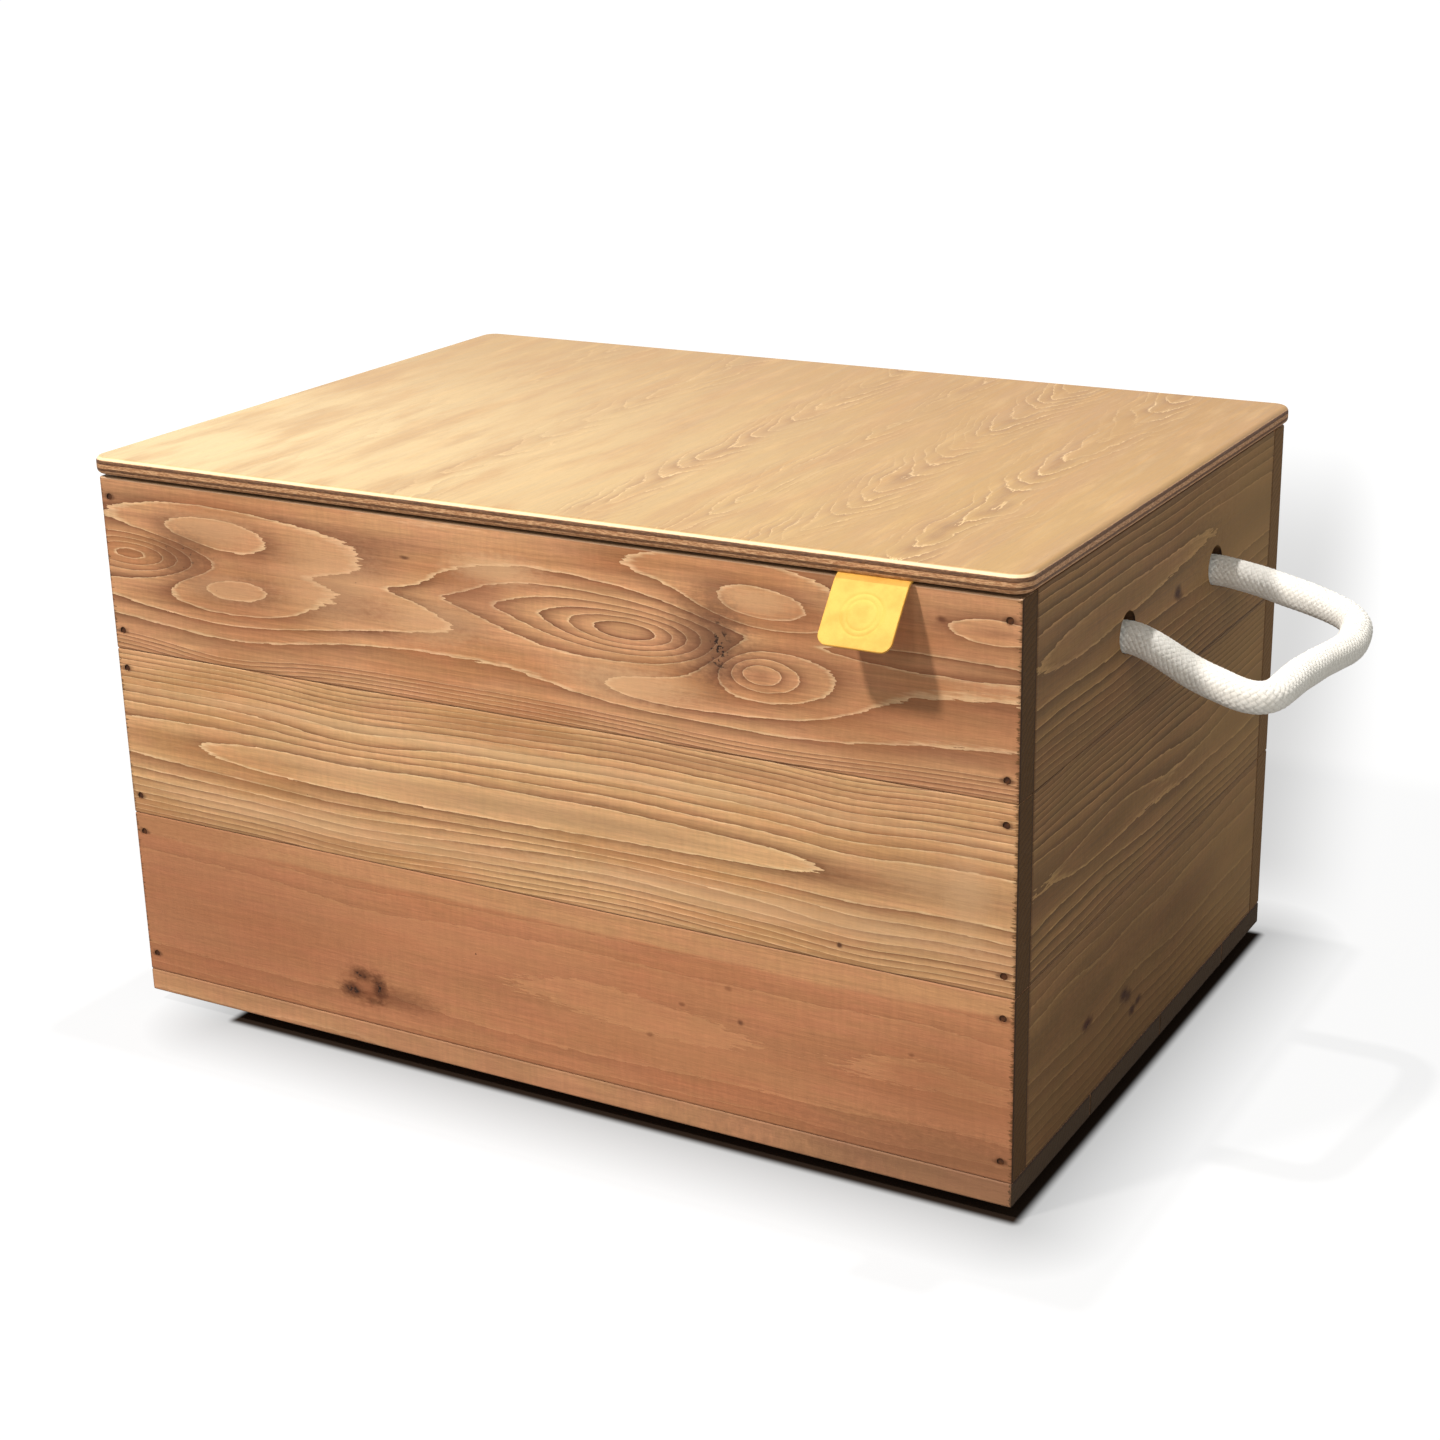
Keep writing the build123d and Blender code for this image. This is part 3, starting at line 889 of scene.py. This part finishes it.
def dress_end_boards():
    half = (BOX_HALF_DEPTH - WALL_THICKNESS, BOARD_HEIGHT / 2, WALL_THICKNESS / 2)
    for node, look in END_BOARDS.items():
        side, _, _, level = node.split("_")
        x = (BOX_HALF_LENGTH - WALL_THICKNESS / 2) * (1 if side == "right" else -1)
        middle = (BOX_SHIFT, LEVELS[level], x)
        dress_wood(node, "YZX", middle, half, sawn_edge=True, **look)


def dress_floor_slats():
    for k, (low, high) in enumerate(zip(SLAT_EDGES, SLAT_EDGES[1:])):
        y = BOX_SHIFT + (low + high) / 2
        half = (BOX_HALF_LENGTH, (high - low) / 2, SLAT_HALF_THICKNESS)
        look = dict(
            tones=PALE_PINE, seed=71 + 9 * k, peak=0.5, crown=y + 11 * (-1) ** k, spread=17,
            waver=2, contrast=0.5, marks=((250, y, 190, 190, 0.6, "775340"),),
        )
        slat = (f"floor_slat_{k + 1}", "XYZ", (0, y, SLAT_HEIGHT), half)
        dress_wood(*slat, end_tone="4a3826", **look)


def dress_inside_wood(*block, **look):
    look |= dict(peak=0.5, spread=4, waver=2, tones=INSIDE_PINE, end_tone="a98257")
    dress_wood(*block, **look)


def dress_posts():
    to_side, to_face, height = POST_PLACE
    for k, corner in enumerate(CORNERS):
        x = to_side if "right" in corner else -to_side
        y = BOX_SHIFT + (-to_face if "front" in corner else to_face)
        post = (f"corner_post_{corner}", "ZYX", (height, y, x), POST_HALF)
        dress_inside_wood(*post, crown=y + 4, seed=101 + 7 * k)


def dress_lid_cleats():
    for k, side in enumerate(("left", "right")):
        node = f"lid_cleat_{side}"
        low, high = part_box(nodes[node].name)
        x, y, z = (1000 * (a + b) / 2 for a, b in zip(low, high))
        half_x, half_y, half_z = (1000 * (b - a) / 2 for a, b in zip(low, high))
        cleat = (node, "YXZ", (y, x, z), (half_y, half_x, half_z))
        dress_inside_wood(*cleat, crown=x + 3, seed=151 + 7 * k)


# ---- lid

# Flames on the lid's face: where the middle of each lies, how wide and how closely nested its
# arches are, and how strongly it shows
LID_FLAMES = (
    (-150, 9, 60, 0.25),
    (-62, 8, 44, 0.45),
    (32, 6, 26, 0.9),
    (84, 5, 52, 0.6),
    (135, 6.5, 19, 1.1),
    (192, 7, 33, 1.1),
)


def with_flames(place, along, across, colour):
    """The lid's colour with its flames, nested arches that point to the front, and their relief."""
    relief = 0
    wander = place.drift((60, 200, 60), 2, 0.5, 16)
    jag = place.drift((8, 1.2, 5), 3, 0.65, 0.7)
    uneven = place.drift((60, 40, 60), 2, 0.5, 3.6)
    clearness = place.noise((60, 18, 60), 2).span(0.38, 0.62, 0.25, 1.6)
    for middle, width, spacing, weight in LID_FLAMES:
        off = (across + wander - middle) / width
        point = abs(off) ** 1.45 * 0.62
        arch = use(place.tree, RINGS, field=along / spacing - point + uneven + jag)
        fade = (off * off * -0.15).calc("EXPONENT") * weight * clearness
        colour = colour.tint(arch["late"] * fade * 0.42, "7d5630")
        colour = colour.tint(arch["line"] * fade * 0.5, "e2c394")
        relief += arch["late"] * fade
    return colour, relief


def ply_bands(place, depth, grain):
    """The plies that show in the lid's edge, from the depth under its top."""
    depth += place.drift((22, 22, 4), 2, 0.5, 0.5)
    colour = grain.span(0.4, 0.62).mix("a9764f", "d9ac82")
    dark = grain.span(0.3, 0.7).mix("4e301c", "7d5535")
    for top, bottom in LID_DARK_PLIES:
        below = depth.span(top - 0.15, top + 0.15)
        above = depth.span(bottom - 0.15, bottom + 0.15, 1, 0)
        colour = colour.tint(below * above, dark)
    return colour


def plywood_material():
    """Waxed plywood: a golden sliced face with painted shading and a painted highlight on its front
    edge, and the plies banded round its edge.
    """
    material, tree, shader = new_material("waxed_plywood")
    place = object_place(tree, "YXZ")
    fibre = use(tree, FIBRE, place=place, seed=7)
    along, across, height = place.split()
    # Painted shading: the face is paler towards its left end and front, nearer the key lamp, and
    # darker towards its right end and back
    colour = across.span(-250, 220).mix("c6b086", "a4824e")
    colour = colour.tint(along.span(-130, 190, 0, 0.7), "966f3a")
    cloud = place.noise((90, 20, 60), 3, 0.55)
    colour = colour.tint(cloud.span(0.4, 0.68, 0, 0.6), "a27c50")
    mottle = place.noise((55, 9, 30), 3, 0.6)
    colour = colour.tint(mottle.span(0.45, 0.75, 0, 0.22), "ceac7a")
    colour, relief = with_flames(place, along, across, colour)
    light = fibre["streak"].span(0.25, 0.75, 0.9, 1.1, smooth=False)
    colour = colour.shade(light * fibre["fine"].span(0.3, 0.7, 0.96, 1.04, smooth=False))
    pores = place.noise((6, 0.5, 2), 2, 0.6)
    colour = colour.tint(pores.span(0.6, 0.74, 0, 0.35), "7c552e")

    depth = LID_TOP - height
    # A highlight painted along the rounded top edge at the lid's front
    glint = depth.span(0.25, 0.7, 0, 0.8) * along.span(-150, -163)
    colour = colour.tint(glint, "f0dcb4")
    grain = object_place(tree).noise((2.6, 2.6, 0.45), 3, 0.65)
    foot = depth.span(LID_THICKNESS - 0.3, LID_THICKNESS - 0.05, 1, 0)
    on_side = depth.span(1.3, 1.7) * foot
    colour = colour.tint(on_side, ply_bands(place, depth, grain))
    rough = fibre["streak"] * 0.22 + 0.34 + on_side * 0.05
    relief = relief * 0.6 + fibre["fine"] * 0.4 + on_side * grain * 2
    finish(shader, colour, rough, relief, 0.25, 0.7, Specular_IOR_Level=0.45)
    return material


# ---- metal and plastic


def worn_metal_material(name, base, worn, roughness, metallic):
    material, tree, shader = new_material(name)
    place = object_place(tree)
    blotch = place.noise((1.6, 1.6, 1.6), 4, 0.65)
    fine = place.noise((0.25, 0.25, 0.25), 2, 0.6)
    colour = blotch.span(0.4, 0.65).mix(base, worn)
    rough = blotch.span(0.3, 0.7, roughness - 0.1, roughness + 0.15)
    finish(shader, colour, rough, blotch + fine, 0.06, 0.4, Metallic=metallic)
    return material


def glide_material():
    material, tree, shader = new_material("glide_plastic")
    place = object_place(tree)
    scuff = place.noise((3, 3, 1), 4, 0.7)
    colour = scuff.span(0.35, 0.75).mix("cfcbc4", "a39d94")
    grain = place.noise((0.3, 0.3, 0.3), 2)
    finish(shader, colour, scuff.span(0.3, 0.7, 0.38, 0.6), grain, 0.05, 0.5)
    return material


# ---- rope


def rope_place(side, x, along, up):
    """A place at the rope, in metres, for the right (+1) or the left (-1) end of the box."""
    return (side * x * MM, (ROPE_MIDDLE + along) * MM, (ROPE_HEIGHT + up) * MM)


def smooth_line(points):
    """Points along the open NURBS spline on the given control points."""
    curve = bpy.data.curves.new("route", "CURVE")
    curve.dimensions = "3D"
    curve.resolution_u = 24
    spline = curve.splines.new("NURBS")
    spline.points.add(len(points) - 1)
    for point, place in zip(spline.points, points):
        point.co = (*place, 1)
    spline.order_u = 3
    spline.use_endpoint_u = True
    holder = new_object("route", curve)
    mesh = bpy.data.meshes.new_from_object(holder)
    line = [vertex.co.copy() for vertex in mesh.vertices]
    bpy.data.objects.remove(holder)
    bpy.data.meshes.remove(mesh)
    bpy.data.curves.remove(curve)
    return line


def even_steps(line, step):
    """The same line with points one step apart, and its length."""
    reached = [0]
    for a, b in zip(line, line[1:]):
        reached.append(reached[-1] + (b - a).length)
    count = max(2, round(reached[-1] / step))
    points = []
    at = 0
    for k in range(count + 1):
        goal = reached[-1] * k / count
        while at < len(line) - 2 and reached[at + 1] < goal:
            at += 1
        share = (goal - reached[at]) / (reached[at + 1] - reached[at])
        points.append(line[at].lerp(line[at + 1], share))
    return points, reached[-1]


def braid_height(turn, along, pitch):
    """Height of a braid's surface, from 0 in its crevices to 1 on its crowns."""
    a = ROPE_CELLS * turn + along / pitch
    b = ROPE_CELLS * turn - along / pitch
    over = (math.floor(a) + math.floor(b)) % 2
    across, onward = (a, b) if over else (b, a)
    p = 2 * (across - math.floor(across)) - 1
    q = 2 * (onward - math.floor(onward)) - 1
    return max(0, 1 - p * p) ** 0.5 * (1 - BRAID_SINK * q * q)


def braid_rings(shape, points, length, diameter, pitch):
    """Rings of vertices round a line, raised where the braid is, and slightly uneven."""
    rings = []
    tangent = (points[1] - points[0]).normalized()
    side = tangent.orthogonal().normalized()
    for k, point in enumerate(points):
        ahead = points[min(k + 1, len(points) - 1)] - points[max(k - 1, 0)]
        turned = tangent.rotation_difference(ahead.normalized())
        tangent = ahead.normalized()
        side = (turned @ side).normalized()
        up = tangent.cross(side)
        along = 1000 * length * k / (len(points) - 1)
        ring = []
        for n in range(ROPE_ROUND_STEPS):
            turn = n / ROPE_ROUND_STEPS
            angle = 2 * math.pi * turn
            raised = ROPE_RELIEF * (braid_height(turn, along, pitch) - ROPE_MEAN_HEIGHT)
            slack = 0.12 * math.sin(along / 9) + 0.08 * math.sin(along / 3.7 + angle)
            radius = (diameter / 2 + raised + slack) * MM
            out = math.cos(angle) * side + math.sin(angle) * up
            ring.append(shape.verts.new(point + radius * out))
        rings.append(ring)
    return rings


def rope_mesh(name, line, diameter):
    """A braided rope round a line, with its braid raised on it and a UV map along and round it."""
    points, length = even_steps(line, ROPE_STEP * MM)
    pitch = math.pi * diameter / ROPE_CELLS / BRAID_SLOPE
    shape = bmesh.new()
    uv = shape.loops.layers.uv.new("run")
    rings = braid_rings(shape, points, length, diameter, pitch)
    for k in range(len(rings) - 1):
        for n in range(ROPE_ROUND_STEPS):
            m = (n + 1) % ROPE_ROUND_STEPS
            face = shape.faces.new((rings[k][n], rings[k][m], rings[k + 1][m], rings[k + 1][n]))
            face.smooth = True
            corners = ((k, n), (k, n + 1), (k + 1, n + 1), (k + 1, n))
            for loop, (row, column) in zip(face.loops, corners):
                run = 1000 * length * row / (len(points) - 1)
                loop[uv].uv = (run / pitch, ROPE_CELLS * column / ROPE_ROUND_STEPS)
    shape.faces.new(reversed(rings[0]))
    shape.faces.new(rings[-1])
    bmesh.ops.recalc_face_normals(shape, faces=shape.faces)
    return new_object(name, mesh_of(name, shape)), [tuple(p) for p in points], length


def rope_material():
    """White braided cotton, a little soiled, with shade painted grey into the crevices of its
    braid.
    """
    material, tree, shader = new_material("braided_cotton")
    along, round_it, _ = output(tree, "UVMap", uv_map="run").split()
    first = round_it + along
    second = round_it - along
    over = (first.calc("FLOOR") + second.calc("FLOOR")).calc("FLOORED_MODULO", 2)
    turned = over * first + (1 - over) * second
    onward = over * second + (1 - over) * first
    crevice = abs(turned.calc("FRACT") * 2 - 1).span(0.72, 1)
    yarn = (turned * (2 * math.pi * BRAID_YARNS)).calc("SINE")
    place = object_place(tree)
    fuzz = place.noise((0.35, 0.35, 0.35), 3, 0.7)
    soil = place.noise((14, 14, 14), 3, 0.6)
    colour = soil.span(0.4, 0.75, 0, 0.6).mix("f8f8f7", "f0eee9")
    # Painted shade: the crevices of the braid are greyed
    colour = colour.tint(crevice * 0.3, "dcd6cb")
    colour = colour.tint(fuzz.span(0.3, 0.7, 0, 0.12), "e2ded6")
    relief = yarn * 0.25 + fuzz * 0.6 - crevice * 0.8 + onward.calc("FRACT") * 0.1
    plain = dict(Specular_IOR_Level=0.25, Sheen_Weight=0.25, Sheen_Roughness=0.5)
    finish(shader, colour, fuzz.span(0.2, 0.8, 0.78, 0.95), relief, 0.25, 0.8, **plain)
    return material


def stopper_knot(name, side, hole, material):
    """A barrel knot behind a hole: wraps of rope round its own standing part, and a tail."""
    wall = BOX_HALF_LENGTH - WALL_THICKNESS
    route = []
    for k in range(KNOT_STEPS + 1):
        share = k / KNOT_STEPS
        angle = side * 2 * math.pi * KNOT_TURNS * share + KNOT_FIRST_ANGLE
        depth = KNOT_START + KNOT_LENGTH * share
        route.append((wall - depth, KNOT_RADIUS * math.cos(angle), KNOT_RADIUS * math.sin(angle)))
    x, along, up = route[-1]
    onward, close = KNOT_TUCK
    route.append((x - onward, along * close, up * close))
    route += [(wall - depth, off, off) for depth, off in KNOT_TAIL]
    line = smooth_line([rope_place(side, x, hole + along, up) for x, along, up in route])
    knot, _, _ = rope_mesh(name, line, KNOT_ROPE)
    knot.data.materials.append(material)
    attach(knot, "carcass")
    return knot


def add_ropes():
    material = rope_material()
    for name, side in (("right", 1), ("left", -1)):
        route = [
            rope_place(side, BOX_HALF_LENGTH + out, along, up) for out, along, up in ROPE_ROUTE
        ]
        rope, path, length = rope_mesh(f"{name}_handle_rope", smooth_line(route), ROPE_DIAMETER)
        rope.data.materials.append(material)
        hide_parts(f"{name}_handle_loop", f"{name}_handle_stubs")
        root = rope_place(side, BOX_HALF_LENGTH, -ROPE_HOLE, 0)
        free = rope_place(side, BOX_HALF_LENGTH + 30, -ROPE_HOLE, 0)
        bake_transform(rope)
        knots = [
            stopper_knot(f"{name}_{end}_rope_knot", side, hole, material)
            for end, hole in (("front", -ROPE_HOLE), ("back", ROPE_HOLE))
        ]
        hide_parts(f"{name}_handle_knots")
        path[::8] + path[-1:]


# ---- pull tab


def leather_material():
    """Dyed yellow leather with a fine pebbled grain."""
    material, tree, shader = new_material("yellow_leather")
    place = object_place(tree)
    cells = output(tree, "TexVoronoi", place, None, 1.5, feature="DISTANCE_TO_EDGE")
    crease = cells.span(0, 0.12, 1, 0)
    cloud = place.noise((9, 9, 9), 3, 0.55)
    fine = place.noise((0.3, 0.3, 0.3), 2, 0.6)
    colour = cloud.span(0.35, 0.7).mix("ecbb58", "e2a94a")
    # The creases of the grain are painted a little darker, as shade
    colour = colour.tint(crease * 0.16, "b98a2c").tint(fine.span(0.5, 0.8, 0, 0.1), "fff0a8")
    rough = fine.span(0.2, 0.8, 0.5, 0.68)
    finish(shader, colour, rough, fine * 0.5 - crease, 0.06, 0.6, Specular_IOR_Level=0.35)
    return material


def tab_bend(run):
    """Where the leather's upper face is, a given run from its hinge, and the way it looks."""
    y, z = TAB_HINGE
    if run <= -TAB_FOLD:
        return (y - run, z), (0, 1)
    turn = math.pi / 2 - math.radians(TAB_LEAN)
    total = 2 * TAB_FOLD
    share = min(1, (run + TAB_FOLD) / total)
    step = total * share / TAB_FOLD_STEPS
    y += TAB_FOLD
    for k in range(TAB_FOLD_STEPS):
        angle = turn * share * (k + 0.5) / TAB_FOLD_STEPS
        y -= math.cos(angle) * step
        z -= math.sin(angle) * step
    angle = turn * share
    if run > TAB_FOLD:
        curl = math.radians(TAB_CURL) * (run - TAB_FOLD) / TAB_FLAP
        y -= math.cos(turn + curl / 2) * (run - TAB_FOLD)
        z -= math.sin(turn + curl / 2) * (run - TAB_FOLD)
        angle = turn + curl
    return (y, z), (-math.sin(angle), math.cos(angle))


def flat_tab():
    """The tab before it is folded, its free corners rounded, cut fine enough to bend."""
    shape = bmesh.new()
    half = TAB_WIDTH / 2
    corners = [(-half, -TAB_ROOT), (half, -TAB_ROOT), (half, TAB_FLAP), (-half, TAB_FLAP)]
    verts = [shape.verts.new((x, y, 0)) for x, y in corners]
    shape.faces.new(verts)
    tips = [v for v in verts if v.co.y > 0]
    rounding = dict(offset=TAB_CORNER, segments=8, profile=0.5, affect="VERTICES", material=-1)
    bmesh.ops.bevel(shape, geom=tips, **rounding)
    step_along = (TAB_ROOT + TAB_FLAP) / TAB_CUTS_ALONG
    step_across = TAB_WIDTH / TAB_CUTS_ACROSS
    cuts = [((0, -TAB_ROOT + k * step_along, 0), (0, 1, 0)) for k in range(1, TAB_CUTS_ALONG)]
    cuts += [((-half + k * step_across, 0, 0), (1, 0, 0)) for k in range(1, TAB_CUTS_ACROSS)]
    for place, way in cuts:
        whole = shape.verts[:] + shape.edges[:] + shape.faces[:]
        bmesh.ops.bisect_plane(shape, geom=whole, plane_co=place, plane_no=way)
    bmesh.ops.recalc_face_normals(shape, faces=shape.faces)
    if shape.faces[:][0].normal.z < 0:
        bmesh.ops.reverse_faces(shape, faces=shape.faces)
    return shape


def add_tab():
    """The leather pull tab: one strip, fixed under the lid and folded over the front board."""
    shape = flat_tab()
    for vertex in shape.verts:
        x, run, _ = vertex.co
        (y, z), (up_y, up_z) = tab_bend(run)
        far = math.hypot(x, run - TAB_PRESSED_MIDDLE)
        lift = TAB_SAG * (1 - (2 * x / TAB_WIDTH) ** 2) * max(0, run) / TAB_FLAP
        for radius, half_width, depth in TAB_PRESSED_RINGS:
            lift -= depth * math.exp(-(((far - radius) / half_width) ** 2))
        place = (TAB_MIDDLE + x, y + up_y * lift, z + up_z * lift)
        vertex.co = [part * MM for part in place]
    for face in shape.faces:
        face.smooth = True
    tab = new_object("leather_tab", mesh_of("leather_tab", shape))
    tab.data.materials.append(leather_material())
    thick = tab.modifiers.new("thickness", "SOLIDIFY")
    thick.thickness = TAB_THICKNESS * MM
    thick.offset = -1
    depsgraph = bpy.context.evaluated_depsgraph_get()
    solid = bpy.data.meshes.new_from_object(tab.evaluated_get(depsgraph))
    tab.modifiers.clear()
    tab.data = solid
    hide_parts("pull_tab_root", "pull_tab_flap")
    y, z = TAB_HINGE
    start = (TAB_MIDDLE * MM, (y + TAB_FOLD) * MM, z * MM)
    end = (TAB_MIDDLE * MM, (y - TAB_FOLD) * MM, (z - TAB_FOLD) * MM)
    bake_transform(tab)


# ---- all together

bpy.context.scene.view_settings.view_transform = "Standard"
add_camera()
for name, lamp in LAMPS.items():
    add_lamp(name, *lamp)
add_world()
add_floor()
add_ropes()
add_tab()
dress_face_boards()
dress_end_boards()
dress_floor_slats()
dress_posts()
dress_lid_cleats()
dress("lid_panel", plywood_material())

nail_steel = worn_metal_material("dark_nails", "3f200c", "5c3417", 0.8, 0.1)
for node in ("front_nails", "back_nails", "floor_nails"):
    dress(node, nail_steel)
screw_steel = worn_metal_material("steel_fasteners", "b9b4aa", "8d867a", 0.35, 1)
for node in ("post_screws", "lid_cleat_screws"):
    dress(node, screw_steel)
dress("pull_tab_tacks", worn_metal_material("brass_tacks", "c9a24a", "9a7430", 0.35, 1))
glide_plastic = glide_material()
for corner in CORNERS:
    dress(f"glide_{corner}", glide_plastic)
